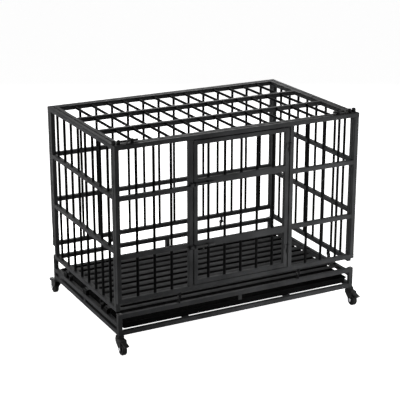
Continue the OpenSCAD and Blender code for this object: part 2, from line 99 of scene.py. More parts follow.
# color made darker or lighter, by a number or by a mask
def shaded(tree, color, value):
    node = tree.nodes.new("ShaderNodeHueSaturation")
    tree.links.new(color, node.inputs["Color"])
    if isinstance(value, bpy.types.NodeSocket):
        tree.links.new(value, node.inputs["Value"])
    else:
        node.inputs["Value"].default_value = value
    return node.outputs["Color"]


# powder coat: slow tone drift, small bright flakes and a fine orange peel
coatLook = {"driftScale": 9.0, "dark": 0.72, "light": 1.3, "flakeScale": 900.0, "flake": 2.6,
            "flakeShare": 0.35, "roughScale": 40.0, "roughLow": 0.5, "roughHigh": 0.64,
            "peelScale": 420.0, "peelDepth": 0.0004}


def makeCoatGroup():
    look = coatLook
    group, source, sink = newGroup(
        "coat", [("Base", "NodeSocketColor", (0.03, 0.03, 0.03, 1.0)), ("Peel", "NodeSocketFloat", 0.2)],
        [("Color", "NodeSocketColor"), ("Rough", "NodeSocketFloat"), ("Normal", "NodeSocketVector")])
    coords = group.nodes.new("ShaderNodeTexCoord").outputs["Object"]
    base = source.outputs["Base"]
    drift = remap(group, noise(group, coords, look["driftScale"], 4.0), 0.3, 0.7, 0.0, 1.0)
    tone = mixColor(group, drift, shaded(group, base, look["dark"]), shaded(group, base, look["light"]))
    speck = remap(group, noise(group, coords, look["flakeScale"], 2.0), 0.62, 0.75, 0.0, look["flakeShare"])
    group.links.new(mixColor(group, speck, tone, shaded(group, base, look["flake"])), sink.inputs["Color"])
    cloud = noise(group, coords, look["roughScale"])
    rough = remap(group, cloud, 0.3, 0.7, look["roughLow"], look["roughHigh"])
    group.links.new(rough, sink.inputs["Rough"])
    bump = addNode(group, "ShaderNodeBump", Distance=look["peelDepth"])
    group.links.new(source.outputs["Peel"], bump.inputs["Strength"])
    group.links.new(noise(group, coords, look["peelScale"], 2.0), bump.inputs["Height"])
    group.links.new(bump.outputs["Normal"], sink.inputs["Normal"])
    return group


coatGroup = makeCoatGroup()


def coatMaterial(name, base, peel, specular):
    material = bpy.data.materials.new(name)
    material.use_nodes = True
    tree = material.node_tree
    shader = tree.nodes["Principled BSDF"]
    shader.inputs["Specular IOR Level"].default_value = specular
    coat = tree.nodes.new("ShaderNodeGroup")
    coat.node_tree = coatGroup
    coat.inputs["Base"].default_value = (*base, 1.0)
    coat.inputs["Peel"].default_value = peel
    tree.links.new(coat.outputs["Color"], shader.inputs["Base Color"])
    tree.links.new(coat.outputs["Rough"], shader.inputs["Roughness"])
    tree.links.new(coat.outputs["Normal"], shader.inputs["Normal"])
    return material


def metalMaterial(name, base):
    material = coatMaterial(name, base, 0.1, 0.5)
    material.node_tree.nodes["Principled BSDF"].inputs["Metallic"].default_value = 1.0
    return material


# painted shade: the sheet's upright faces, the walls of its slots and its rim, are darkened almost to black
def paintUprightShade(material, shadeLevel):
    tree = material.node_tree
    shader = tree.nodes["Principled BSDF"]
    color = shader.inputs["Base Color"].links[0].from_socket
    split = tree.nodes.new("ShaderNodeSeparateXYZ")
    tree.links.new(tree.nodes.new("ShaderNodeNewGeometry").outputs["Normal"], split.inputs[0])
    level = addNode(tree, "ShaderNodeMath", operation="ABSOLUTE")
    tree.links.new(split.outputs["Z"], level.inputs[0])
    shadeMask = remap(tree, level.outputs[0], 0.35, 0.95, shadeLevel, 1.0)
    tree.links.new(shaded(tree, color, shadeMask), shader.inputs["Base Color"])


# base color, orange peel and gloss of each finish
materials = {
    "frame_coat": coatMaterial("frameCoat", (0.024, 0.0244, 0.0251), 0.22, 0.022),
    "bar_coat": coatMaterial("barCoat", (0.0035, 0.0035, 0.0036), 0.2, 0.007),
    # the floor sheet is a darker grey than the frame, as painted shade for its place inside the cage
    "floor_coat": coatMaterial("floorCoatPaintedShade", (0.018, 0.0183, 0.0188), 0.22, 0.016),
    "tray_plastic": coatMaterial("trayPlastic", (0.0032, 0.0032, 0.0033), 0.3, 0.0025),
    "cap_plastic": coatMaterial("capPlastic", (0.008, 0.008, 0.008), 0.15, 0.35),
    "caster_black": coatMaterial("casterBlack", (0.005, 0.005, 0.005), 0.15, 0.16),
    "wheel_tyre": coatMaterial("wheelTyre", (0.005, 0.005, 0.005), 0.3, 0.12),
    "zinc": metalMaterial("zinc", (0.42, 0.42, 0.43)),
    "bolt_black": coatMaterial("boltBlack", (0.009, 0.009, 0.009), 0.1, 0.25),
}
# painted shade on the floor sheet's upright faces
paintUprightShade(materials["floor_coat"], 0.08)
slotOf = {row["node"]: row["material_slot"] for row in frame["record"]["subparts"]}
for nodeName, node in nodes.items():
    node.data.materials.clear()
    node.data.materials.append(materials[slotOf[nodeName]])
# the hinge lugs are left blacker than the tubes
lugCoat = coatMaterial("lugCoat", (0.006, 0.006, 0.0062), 0.22, 0.03)
for nodeName in ("panel_hinge_lugs_base", "panel_hinge_lugs_panel"):
    nodes[nodeName].data.materials[0] = lugCoat
print("stage: materials set")


# mesh helpers, in millimetres

def hash01(a, b=0.0, c=0.0):
    value = math.sin(a * 12.9898 + b * 78.233 + c * 37.719) * 43758.5453
    return value - math.floor(value)


def finishPiece(name, bm, body, slotName, replaced=(), sharp=34):
    bmesh.ops.recalc_face_normals(bm, faces=bm.faces)
    bmesh.ops.scale(bm, vec=(0.001, 0.001, 0.001), verts=bm.verts)  # to metres
    mesh = bpy.data.meshes.new(name)
    bm.to_mesh(mesh)
    bm.free()
    mesh.polygons.foreach_set("use_smooth", [True] * len(mesh.polygons))
    mesh.set_sharp_from_angle(angle=math.radians(sharp))
    mesh.materials.append(materials[slotName])
    item = bpy.data.objects.new(name, mesh)
    bpy.context.scene.collection.objects.link(item)
    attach(item, body)
    if replaced:
        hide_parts(*replaced)
    return item


def merge(bm, part, place):
    bmesh.ops.transform(part, matrix=place, verts=part.verts)
    mesh = bpy.data.meshes.new("scrap")
    part.to_mesh(mesh)
    part.free()
    bm.from_mesh(mesh)
    bpy.data.meshes.remove(mesh)


def moveTo(x, y, z):
    return Matrix.Translation((x, y, z))


# frames for turned pieces: their own Z runs along the length, to the front or down
alongX = Matrix(((0, 0, 1, 0), (1, 0, 0, 0), (0, 1, 0, 0), (0, 0, 0, 1)))
alongFront = Matrix(((1, 0, 0, 0), (0, 0, -1, 0), (0, 1, 0, 0), (0, 0, 0, 1)))
alongDown = Matrix(((1, 0, 0, 0), (0, -1, 0, 0), (0, 0, -1, 0), (0, 0, 0, 1)))


def lathe(bm, profile, place, sides=32, closed=False):
    rings = []
    for radius, height in profile:
        if radius < 1e-6:
            rings.append([bm.verts.new(place @ Vector((0, 0, height)))])
            continue
        turns = [2 * math.pi * k / sides for k in range(sides)]
        points = [Vector((radius * math.cos(a), radius * math.sin(a), height)) for a in turns]
        rings.append([bm.verts.new(place @ p) for p in points])
    if closed:
        rings.append(rings[0])
    for low, high in zip(rings, rings[1:]):
        for k in range(sides):
            n = (k + 1) % sides
            if len(low) == 1:
                bm.faces.new((low[0], high[n], high[k]))
            elif len(high) == 1:
                bm.faces.new((low[k], low[n], high[0]))
            else:
                bm.faces.new((low[k], low[n], high[n], high[k]))


def liftFaces(part, faces, height):
    raised = bmesh.ops.extrude_face_region(part, geom=faces)["geom"]
    verts = [g for g in raised if isinstance(g, bmesh.types.BMVert)]
    bmesh.ops.translate(part, vec=(0, 0, height), verts=verts)


def isLevel(edge):
    return abs(edge.verts[0].co.z - edge.verts[1].co.z) < 1e-6


# outline raised from low to high, its two rims rounded
def slab(bm, outline, low, high, place, bevel=0.5, segments=2):
    part = bmesh.new()
    face = part.faces.new([part.verts.new((u, v, low)) for u, v in outline])
    liftFaces(part, [face], high - low)
    rims = [e for e in part.edges if isLevel(e)]
    bmesh.ops.bevel(part, geom=rims, offset=bevel, segments=segments, profile=0.5, affect="EDGES")
    merge(bm, part, place)


def arc(centre, radius, start, end, steps):
    turns = [math.radians(start + (end - start) * k / steps) for k in range(steps + 1)]
    return [(centre[0] + radius * math.cos(a), centre[1] + radius * math.sin(a)) for a in turns]


def roundRect(halfX, halfY, radius, steps=6):
    points = []
    for sx, sy, start in ((1, 1, 0), (-1, 1, 90), (-1, -1, 180), (1, -1, 270)):
        points += arc((sx * (halfX - radius), sy * (halfY - radius)), radius, start, start + 90, steps)
    return points


# closed rings joined one by one; both ends are filled
def joinRings(bm, rings):
    for low, high in zip(rings, rings[1:]):
        for k in range(len(low)):
            n = (k + 1) % len(low)
            bm.faces.new((low[k], low[n], high[n], high[k]))
    bm.faces.new(list(reversed(rings[0])))
    bm.faces.new(rings[-1])


def loft(bm, levels, place):
    joinRings(bm, [[bm.verts.new(place @ Vector((u, v, height))) for u, v in outline]
                   for outline, height in levels])


# weld bead of small ripples in the corner between two faces
def seamBead(bm, corner, along, faceA, faceB, length, size):
    shape = ((-0.3, -0.3), (1.0, -0.12), (0.93, 0.36), (0.68, 0.68), (0.36, 0.93), (-0.12, 1.0))
    steps = max(5, int(length / 1.5))
    rings = []
    for i in range(steps + 1):
        t = i / steps
        ripple = 0.9 + 0.16 * (i % 2) + 0.14 * hash01(corner.x + corner.y, corner.z, i)
        reach = size * ripple * min(1.0, 0.45 + 4.0 * min(t, 1 - t))
        middle = corner + along * (t - 0.5) * length
        rings.append([bm.verts.new(middle + faceA * reach * a + faceB * reach * b) for a, b in shape])
    joinRings(bm, rings)


# weld ring where a round bar meets a flat face; along points up the bar
def barBead(bm, foot, along, radius, size, sides=14):
    side = along.orthogonal().normalized()
    other = along.cross(side)
    rings = []
    for k in range(sides):
        turn = 2 * math.pi * k / sides
        out = side * math.cos(turn) + other * math.sin(turn)
        reach = size * (0.82 + 0.34 * hash01(foot.x + foot.y, foot.z, k))
        shape = ((-0.3, -0.15), (reach, -0.15), (0.62 * reach, 0.5 * reach), (0.28 * reach, 0.85 * reach),
                 (-0.3, 1.2 * reach))
        rings.append([bm.verts.new(foot + out * (radius + a) + along * b) for a, b in shape])
    for k in range(sides):
        low, high = rings[k], rings[(k + 1) % sides]
        for i in range(len(low)):
            n = (i + 1) % len(low)
            bm.faces.new((low[i], high[i], high[n], low[n]))


# weld beads: one mesh for each body that carries them

axisX, axisY, axisZ = Vector((1, 0, 0)), Vector((0, 1, 0)), Vector((0, 0, 1))
weld = {"seam": 2.1, "ring": 1.7, "length": 14.0, "lug": 1.5, "lugLength": 11.0}
# the crate's own sizes: middles of posts and rails, heights above the ground
crate = {"half": 8.75, "barRadius": 5.25, "postX": 525.25, "postY": 329.25, "sideY": 309.75, "jambX": 222.75,
         "runnerX": 232.0, "pitch": 71.75, "lowRail": 80.75, "topUnder": 806.5, "frontMids": (388.0, 619.0),
         "backMids": (425.0, 620.0), "sideMids": (406.0, 620.5), "frontFoot": 219.5, "backFoot": 238.0,
         "frontRail": 149.25, "backRail": 167.75, "frontTop": 158.0, "backTop": 176.5}
frontFace = -(crate["postY"] + crate["half"])
topFace = crate["topUnder"] + 2 * crate["half"]
sides = {-1: {"foot": 182.5, "rail": 112.25, "top": 121.0}, 1: {"foot": 201.0, "rail": 130.75, "top": 139.5}}
lid = {"z": 815.65, "endX": 505.75, "front": -301.0, "back": 299.5, "railY": 102.0, "pitch": 71.4, "bars": 13}
door = {"stileX": 192.5, "lowRail": 231.25, "topRail": 794.75, "locks": (385.0, 637.5), "lockHalf": 13.0}
# hinge pegs under the panels: place, rail top below, turned for the side panels
peg = {"x": 270, "y": 163, "room": 44, "lugHalf": 4.65}
pegs = [(s * peg["x"], t * crate["postY"], crate["frontTop"] if t < 0 else crate["backTop"], False)
        for t in (-1, 1) for s in (-1, 1)]
pegs += [(s * crate["postX"], t * peg["y"], sides[s]["top"], True) for s in (-1, 1) for t in (-1, 1)]


# tube end at a point, running off along a direction, with a bead on each named side
def tubeEnd(bm, point, runs, beadSides, half=crate["half"]):
    for side in beadSides:
        seamBead(bm, Vector(point) + side * half, runs.cross(side), runs, side, weld["length"], weld["seam"])


# bars in a row, cut by the rails that they pass
def barRow(bm, places, runs, low, rails, high, half=crate["half"]):
    feet = [(low, 1)]
    for rail in rails:
        feet += [(rail - half, -1), (rail + half, 1)]
    for place in places:
        for foot, sign in feet + [(high, -1)]:
            barBead(bm, Vector(place) + runs * foot, runs * sign, crate["barRadius"], weld["ring"])


def endWelds(bm, s):
    half, px, py, top = (crate[k] for k in ("half", "postX", "postY", "topUnder"))
    inner, inX = axisX * -s, s * (px - half)
    foot, rail = sides[s]["foot"], sides[s]["rail"]
    upDown = [axisZ, -axisZ]
    for t in (-1, 1):
        back = axisY * -t
        face = "front" if t < 0 else "back"
        tubeEnd(bm, (s * px, t * py, crate[face + "Foot"]), axisZ, [inner])
        tubeEnd(bm, (s * px, t * py, top), -axisZ, [inner])
        for z in crate[face + "Mids"]:
            tubeEnd(bm, (inX, t * py, z), inner, upDown)
        tubeEnd(bm, (s * px, t * crate["sideY"], foot), axisZ, [back])
        tubeEnd(bm, (s * px, t * crate["sideY"], top), -axisZ, [back])
        for z in crate["sideMids"]:
            tubeEnd(bm, (s * px, t * (crate["sideY"] - half), z), back, upDown)
        tubeEnd(bm, (s * px, t * (py - half), crate["lowRail"]), back, [axisZ])
        tubeEnd(bm, (s * px, t * (py - half), rail), back, upDown)
        tubeEnd(bm, (inX, t * py, crate["lowRail"]), inner, [axisZ])
        tubeEnd(bm, (inX, t * py, crate[face + "Rail"]), inner, [-axisZ])
        tubeEnd(bm, (s * crate["runnerX"], t * (py - half), crate["lowRail"]), back, [axisX, -axisX])
    tubeEnd(bm, (s * px, 0, crate["lowRail"] + half), axisZ, [axisY, -axisY])
    tubeEnd(bm, (s * px, 0, rail - half), -axisZ, [axisY, -axisY])
    rows = [(s * px, (i - 3.5) * crate["pitch"], 0) for i in range(8)]  # eight bars a side
    barRow(bm, rows, axisZ, foot, crate["sideMids"], top)


def crateWelds():
    bm = bmesh.new()
    half, py, top, jamb, pitch = (crate[k] for k in ("half", "postY", "topUnder", "jambX", "pitch"))
    middle = (jamb + crate["postX"]) / 2
    for s in (-1, 1):
        endWelds(bm, s)
        tubeEnd(bm, (s * jamb, -py, crate["frontFoot"]), axisZ, [axisX, -axisX])
        tubeEnd(bm, (s * jamb, -py, top), -axisZ, [axisX, -axisX])
        for z in crate["frontMids"]:
            tubeEnd(bm, (s * (jamb + half), -py, z), axisX * s, [axisZ, -axisZ])
        rows = [(s * (middle + i * pitch), -py, 0) for i in (-1, 0, 1)]
        barRow(bm, rows, axisZ, crate["frontFoot"], crate["frontMids"], top)
    rows = [((i - 6.5) * pitch, py, 0) for i in range(14)]  # fourteen at the back
    barRow(bm, rows, axisZ, crate["backFoot"], crate["backMids"], top)
    tubeEnd(bm, (0, py, crate["lowRail"] + half), axisZ, [axisX, -axisX])
    tubeEnd(bm, (0, py, crate["backRail"] - half), -axisZ, [axisX, -axisX])
    # a bead along the outer face of each hinge lug
    for x, y, z, turned in pegs:
        normal, across = (axisY, axisX) if turned else (axisX, axisY)
        for out, lugFoot, runs in ((-1, z, axisZ), (1, z + peg["room"], -axisZ)):
            corner = Vector((x, y, lugFoot)) + normal * peg["lugHalf"] * out
            seamBead(bm, corner, across, runs, normal * out, weld["lugLength"], weld["lug"])
    finishPiece("crateWelds", bm, "crate", "frame_coat", sharp=50)


def lidWelds():
    bm = bmesh.new()
    z, half, railY = lid["z"], crate["half"], lid["railY"]
    for s in (-1, 1):
        tubeEnd(bm, (s * lid["endX"], lid["front"], z), axisY, [axisX * -s])
        tubeEnd(bm, (s * lid["endX"], lid["back"], z), -axisY, [axisX * -s])
        for t in (-1, 1):
            tubeEnd(bm, (s * (lid["endX"] - half), t * railY, z), axisX * -s, [axisY, -axisY])
    rows = [((i - lid["bars"] // 2) * lid["pitch"], 0, z) for i in range(lid["bars"])]
    barRow(bm, rows, axisY, lid["front"], (-railY, railY), lid["back"])
    finishPiece("lidWelds", bm, "lid", "frame_coat", sharp=50)


def doorWelds():
    bm = bmesh.new()
    py, half = crate["postY"], crate["half"]
    for s in (-1, 1):
        inner = axisX * -s
        tubeEnd(bm, (s * door["stileX"], -py, door["lowRail"]), inner, [axisZ])
        tubeEnd(bm, (s * door["stileX"], -py, door["topRail"]), inner, [-axisZ])
        for z in door["locks"]:
            tubeEnd(bm, (s * door["stileX"], -py, z), inner, [axisZ, -axisZ], door["lockHalf"])
    rows = [(i * crate["pitch"], -py, 0) for i in range(-2, 3)]
    barRow(bm, rows, axisZ, door["lowRail"] + half, door["locks"], door["topRail"] - half, door["lockHalf"])
    finishPiece("doorWelds", bm, "door", "frame_coat", sharp=50)


crateWelds()
lidWelds()
doorWelds()
print("stage: welds laid")


# panel hinge bolts: shank, washers, hex head and nut

boltSizes = {"shank": 3.0, "washer": 6.6, "thick": 0.9, "hex": 5.6, "grip": peg["lugHalf"]}


def panelBolts():
    bm = bmesh.new()
    shank, washer, thick, hexR, grip = (boltSizes[k] for k in ("shank", "washer", "thick", "hex", "grip"))
    seat = grip + thick
    for x, y, z, turned in pegs:
        turn = Matrix.Rotation(math.pi / 2, 4, "Z") if turned else Matrix()
        place = moveTo(x, y, z + peg["room"] / 2) @ turn @ alongX
        lathe(bm, [(0, -seat), (shank, -seat), (shank, grip + 4.6), (shank - 0.7, grip + 5.3), (0, grip + 5.3)],
              place, 20)
        for low, high in ((-seat, -grip), (grip, seat)):
            lathe(bm, [(shank, low), (washer - 0.3, low), (washer, low + 0.3), (washer, high - 0.3),
                       (washer - 0.3, high), (shank, high)], place, 28, closed=True)
        lathe(bm, [(0, -grip - 4.1), (hexR - 1.6, -grip - 4.1), (hexR - 0.5, -grip - 3.7), (hexR, -grip - 3.0),
                   (hexR, -seat), (0, -seat)], place, 6)
        lathe(bm, [(shank - 0.2, seat), (hexR, seat), (hexR, grip + 3.4), (hexR - 0.6, grip + 4.0),
                   (shank - 0.2, grip + 4.2)], place, 6, closed=True)
    finishPiece("panelBolts", bm, "crate", "bolt_black", ["panel_hinge_bolts"], sharp=28)


panelBolts()


# caps on the leg tops, a low dome over the square tube

capLevels = ((0.0, 1.0), (1.0, 1.0), (1.7, 0.965), (2.3, 0.86), (2.75, 0.64), (2.95, 0.36), (3.0, 0.12))


def legCaps():
    bm = bmesh.new()
    half = crate["half"]
    # each level is a height and a share of the tube's width; corners grow rounder towards the top
    rings = [(roundRect(half * k, half * k, (1.8 + 5.0 * (1 - k)) * k, 5), height) for height, k in capLevels]
    for x in (-crate["postX"], crate["postX"]):
        for y, z in ((-crate["postY"], crate["frontTop"]), (crate["postY"], crate["backTop"])):
            loft(bm, rings, moveTo(x, y, z))
    finishPiece("legCaps", bm, "crate", "cap_plastic", ["leg_caps"], sharp=50)


legCaps()


# floor: one sheet with round-ended slots, its rim and slots softly rounded

floorSheet = {"halfX": 503.5, "halfY": 270.0, "low": 143.0, "high": 145.0, "slots": 10, "pitch": 52.3,
              "slotHalf": 9.65, "slotX": 479.5, "corner": 6.0, "bevel": 0.45}


def layFloor():
    f = floorSheet
    part = bmesh.new()
    loops = [roundRect(f["halfX"], f["halfY"], f["corner"], 4)]
    reach = f["slotX"] - f["slotHalf"]
    for i in range(f["slots"]):
        y = (i - (f["slots"] - 1) / 2) * f["pitch"]
        loops.append(arc((reach, y), f["slotHalf"], -90, 90, 10) + arc((-reach, y), f["slotHalf"], 90, 270, 10))
    edges = []
    for points in loops:
        verts = [part.verts.new((x, y, f["low"])) for x, y in points]
        edges += [part.edges.new((verts[k], verts[(k + 1) % len(verts)])) for k in range(len(verts))]
    filled = bmesh.ops.triangle_fill(part, edges=edges, use_beauty=True)["geom"]
    liftFaces(part, [g for g in filled if isinstance(g, bmesh.types.BMFace)], f["high"] - f["low"])
    bmesh.ops.dissolve_limit(part, angle_limit=0.001, verts=part.verts, edges=part.edges)
    rims = [e for e in part.edges if len(e.link_faces) == 2 and e.calc_face_angle(0) > 1.2 and isLevel(e)]
    bmesh.ops.bevel(part, geom=rims, offset=f["bevel"], segments=2, profile=0.5, affect="EDGES")
    finishPiece("floorSheet", part, "crate", "floor_coat", ["floor_slats"], sharp=30)


layFloor()


# tray: thin moulded shell with round corners, steep walls, a rolled rim and a raised field in its floor

trayShape = {"rimX": 512.5, "rimY": 322.75, "y": -4.25, "low": 89.8, "height": 27.0, "lean": 8.0, "wall": 2.5,
             "corner": 9.0, "leastCorner": 3.0}


def mouldTray():
    t = trayShape
    h, lean, wall = (t[k] for k in ("height", "lean", "wall"))
    foot = lean + wall

    def ring(inset, height):
        corner = max(t["leastCorner"], t["corner"] - 0.35 * inset)
        return roundRect(t["rimX"] - inset, t["rimY"] - inset, corner, 8), height

    outer = [ring(lean + 5, 0.0), ring(lean + 2.6, 0.4), ring(lean + 0.8, 1.8), ring(lean - 0.2, 4.2),
             ring(3.6, h - 4.2), ring(2.4, h - 3.2), ring(0.7, h - 2.6), ring(0.0, h - 1.7), ring(0.2, h - 0.7),
             ring(1.1, h)]
    inner = [ring(4.4, h), ring(5.4, h - 0.8), ring(6.0, h - 2.4), ring(foot - 0.4, 6.0), ring(foot + 1.4, 4.0),
             ring(foot + 5, wall + 0.3), ring(lean + 16, wall), ring(lean + 30, wall),
             ring(lean + 33, wall + 0.8), ring(lean + 37, wall + 1.0)]
    bm = bmesh.new()
    loft(bm, outer + inner, moveTo(0, t["y"], t["low"]))
    finishPiece("trayShell", bm, "tray", "tray_plastic", ["tray"], sharp=50)


mouldTray()
print("stage: floor, tray and caps made")


# casters: hooded fork with swivel head, tyre with recessed hub, hollow rivets and a hooked brake pedal

caster = {"trail": -24.0, "axleZ": 24.0, "pivotZ": 56.0, "half": 14.0, "sheet": 2.5, "bend": 6.0,
          "innerBend": 3.5, "spokes": 6, "padHalf": 9.8, "ridges": 4}
casterSpots = {"fl": (-1, -1, 0), "fr": (1, -1, 0), "bl": (-1, 1, math.pi), "br": (1, 1, math.pi)}
# the hood station by station: place along the trail, lower edge of the cheeks, top of the crown
hoodStations = ((13.0, 58.6, 63.6), (12.8, 55.0, 64.6), (12.2, 51.5, 65.2), (11.0, 48.0, 65.2),
                (9.0, 44.6, 65.2), (6.0, 41.2, 65.2), (2.0, 37.6, 65.2), (-3.0, 33.8, 65.2), (-8.0, 30.0, 65.2),
                (-12.5, 25.8, 65.2), (-15.4, 20.6, 65.2), (-18.6, 16.9, 65.1), (-24.0, 15.0, 64.7),
                (-29.4, 16.9, 63.7), (-32.0, 20.2, 62.6), (-33.0, 24.5, 61.6), (-33.2, 29.0, 61.2))


def hoodSection(y, low, top, half, radius):
    shoulder = max(top - radius, low + 0.4)
    side = [(half, low + (shoulder - low) * k / 5) for k in range(5)]
    turns = [math.pi / 2 * k / 5 for k in range(6)]
    bend = [(half - radius + radius * math.cos(a), shoulder + (top - shoulder) * math.sin(a)) for a in turns]
    crown = [((half - radius) * (1 - k / 3), top) for k in range(1, 3)]
    right = side + bend + crown + [(0.0, top)]
    left = [(-u, v) for u, v in reversed(right[:-1])]
    return [Vector((u, y, v)) for u, v in right + left]


# strip of faces between two rows of points
def joinRows(bm, a, b):
    for k in range(len(a) - 1):
        bm.faces.new((a[k], a[k + 1], b[k + 1], b[k]))


def forkHood(bm, place):
    half, sheet = caster["half"], caster["sheet"]

    def skin(inset, bend):
        sections = [hoodSection(y, low, top - inset, half - inset, bend) for y, low, top in hoodStations]
        return [[bm.verts.new(place @ p) for p in points] for points in sections]

    outer, inner = skin(0.0, caster["bend"]), skin(sheet, caster["innerBend"])
    for grid in (outer, inner):
        for a, b in zip(grid, grid[1:]):
            joinRows(bm, a, b)
    for end in (0, -1):
        joinRows(bm, outer[end], inner[end])
        joinRows(bm, [row[end] for row in outer], [row[end] for row in inner])  # lower edges of the cheeks


def makeFork(key, place):
    bm = bmesh.new()
    forkHood(bm, place)
    # swivel head: two cups with the ball race between them
    lathe(bm, [(5.2, 71.5), (14.6, 71.5), (16.0, 71.0), (16.4, 69.9), (16.4, 68.2), (15.0, 67.6), (14.6, 66.9),
               (15.2, 66.3), (17.0, 65.8), (17.0, 63.9), (16.2, 62.9), (5.2, 62.7)], place, 40, closed=True)
    # hollow rivets that carry the pedal
    pivot = place @ moveTo(0, caster["trail"], caster["pivotZ"]) @ alongX
    lathe(bm, [(0, -11.6), (2.5, -11.6), (2.5, 11.6), (0, 11.6)], pivot, 20)
    for s in (-1, 1):
        lathe(bm, [(1.6, s * 11.4), (5.0, s * 13.9), (5.6, s * 14.3), (5.4, s * 15.0), (4.2, s * 15.7),
                   (2.9, s * 15.6), (2.2, s * 14.9), (1.6, s * 13.2)], pivot, 28, closed=True)
    finishPiece("casterFork_" + key, bm, "caster_" + key, "caster_black", ["caster_fork_" + key], sharp=40)


def makeWheel(key, place):
    bm = bmesh.new()
    hub = place @ moveTo(0, caster["trail"], caster["axleZ"]) @ alongX
    right = [(4.06, 9.6), (4.6, 10.0), (7.6, 10.0), (8.2, 9.5), (8.7, 7.4), (10.0, 6.9), (15.4, 6.9),
             (16.6, 7.3), (17.3, 8.6), (18.0, 9.4), (19.6, 9.8), (21.2, 9.6), (22.6, 8.7), (23.5, 7.2),
             (23.9, 5.2), (24.0, 2.4), (23.75, 1.5), (23.5, 1.1), (23.5, 0.0)]
    left = [(r, -h) for r, h in reversed(right[:-1])]
    lathe(bm, right + left, hub, 56, closed=True)
    # spokes in the hub recess on both faces
    for s in (-1, 1):
        low, high = sorted((s * 6.4, s * 8.3))
        for k in range(caster["spokes"]):
            turn = hub @ Matrix.Rotation(2 * math.pi * k / caster["spokes"], 4, "Z")
            slab(bm, [(8.0, -1.1), (17.0, -0.8), (17.0, 0.8), (8.0, 1.1)], low, high, turn, 0.35)
    finishPiece("casterWheel_" + key, bm, "wheel_" + key, "wheel_tyre", ["caster_wheel_" + key], sharp=32)


def makeAxle(key, place):
    bm = bmesh.new()
    axle = place @ moveTo(0, caster["trail"], caster["axleZ"]) @ alongX
    right = [(0, 12.5), (3.1, 12.5), (3.3, 15.4), (3.9, 16.4), (4.9, 16.9), (6.0, 16.6), (6.5, 15.8),
             (6.5, 15.1), (7.6, 15.0), (7.9, 14.7), (7.9, 14.2), (7.6, 14.0), (4.0, 14.0)]
    lathe(bm, right + [(r, -h) for r, h in reversed(right)], axle, 32)
    finishPiece("casterAxle_" + key, bm, "caster_" + key, "zinc", ["caster_axle_" + key], sharp=40)


def makePedal(key, place):
    bm = bmesh.new()
    # eye round the pivot, pad with a lifted tip, then the hook below it and back
    outline = arc((caster["trail"], caster["pivotZ"]), 4.4, -100, 76, 10)
    outline += [(-27.0, 60.2), (-34.0, 58.7), (-42.0, 56.9), (-50.0, 54.9), (-58.0, 52.9), (-64.0, 51.4),
                (-67.4, 51.0), (-69.0, 51.6), (-69.7, 51.2), (-69.5, 50.2), (-67.8, 48.8), (-64.6, 47.8)]
    outline += [(-61.4, 46.4), (-59.4, 44.4), (-58.6, 42.6), (-57.6, 42.0), (-56.6, 42.4), (-56.0, 44.0),
                (-54.4, 46.6), (-51.0, 49.0), (-46.0, 50.6), (-40.0, 51.6), (-33.0, 52.0), (-28.6, 51.8)]
    slab(bm, outline, -caster["padHalf"], caster["padHalf"], place @ alongX, 0.9, 3)
    ridge = [(0, -7.6), (0.5, -7.5), (0.8, -7.0), (0.8, 7.0), (0.5, 7.5), (0, 7.6)]
    for k in range(caster["ridges"]):  # across the pad, down its slope
        lathe(bm, ridge, place @ moveTo(0, -49.0 - 3.8 * k, 55.1 - 0.95 * k) @ alongX, 10)
    finishPiece("casterPedal_" + key, bm, "pedal_" + key, "caster_black", ["caster_pedal_" + key], sharp=36)


for key, (s, t, turn) in casterSpots.items():
    spot = moveTo(s * crate["postX"], t * crate["postY"], 0) @ Matrix.Rotation(turn, 4, "Z")
    makeFork(key, spot)
    makeWheel(key, spot)
    makeAxle(key, spot)
    makePedal(key, spot)
print("stage: casters made")


# sliding bolts: turned rod with eased ends and a handle with a round tip

latch = {"rod": 4.0, "knob": 3.0, "tip": 3.9}
lidLatch = {"inner": 426.5, "outer": 511.5, "z": 831.4, "knobX": 476.5, "reach": 17.0}
doorLatch = {"inner": -123.0, "outer": -209.5, "y": -345.0, "heights": {"upper": 633.5, "lower": 381.0},
             "knobX": -173.0, "reach": 18.0}


def slidingBolt(name, nodeName, ends, y, z, knobX, reach, handleFrame):
    bm = bmesh.new()
    rod, knob, tip = (latch[k] for k in ("rod", "knob", "tip"))
    low, high = sorted(ends)
    lathe(bm, [(0, low), (rod - 1.0, low), (rod - 0.2, low + 0.7), (rod, low + 1.4), (rod, high - 1.4),
               (rod - 0.2, high - 0.7), (rod - 1.0, high), (0, high)], moveTo(0, y, z) @ alongX, 28)
    lathe(bm, [(0, 0), (knob + 1.4, 2.6), (knob + 0.7, 4.0), (knob, 5.4), (knob, reach - 5.0),
               (tip - 0.2, reach - 3.6), (tip, reach - 2.2), (tip - 0.6, reach - 0.7), (tip - 1.9, reach),
               (0, reach + 0.1)], moveTo(knobX, y, z) @ handleFrame, 24)
    finishPiece(name, bm, nodeName, "bolt_black", [nodeName], sharp=38)  # body and node share the name


for s, side in ((-1, "left"), (1, "right")):
    slidingBolt("lidBolt_" + side, "lid_bolt_" + side, (s * lidLatch["inner"], s * lidLatch["outer"]),
                -crate["sideY"], lidLatch["z"], s * lidLatch["knobX"], lidLatch["reach"], alongFront)
for side, z in doorLatch["heights"].items():
    slidingBolt("doorBolt_" + side, "door_bolt_" + side, (doorLatch["inner"], doorLatch["outer"]),
                doorLatch["y"], z, doorLatch["knobX"], doorLatch["reach"], alongDown)


# keepers: bent strips with round shoulders that the bolts run into

keeper = {"inner": 4.3, "wall": 3.0, "shoulder": 4.6, "bend": 1.6, "bevel": 0.6, "bead": 1.5}
lidKeeper = {"reach": 11.7, "half": 5.0, "bead": 9.0}
doorKeeper = {"reach": 11.3, "half": 7.75, "bead": 12.0}
keeperSide = keeper["inner"] + keeper["wall"]


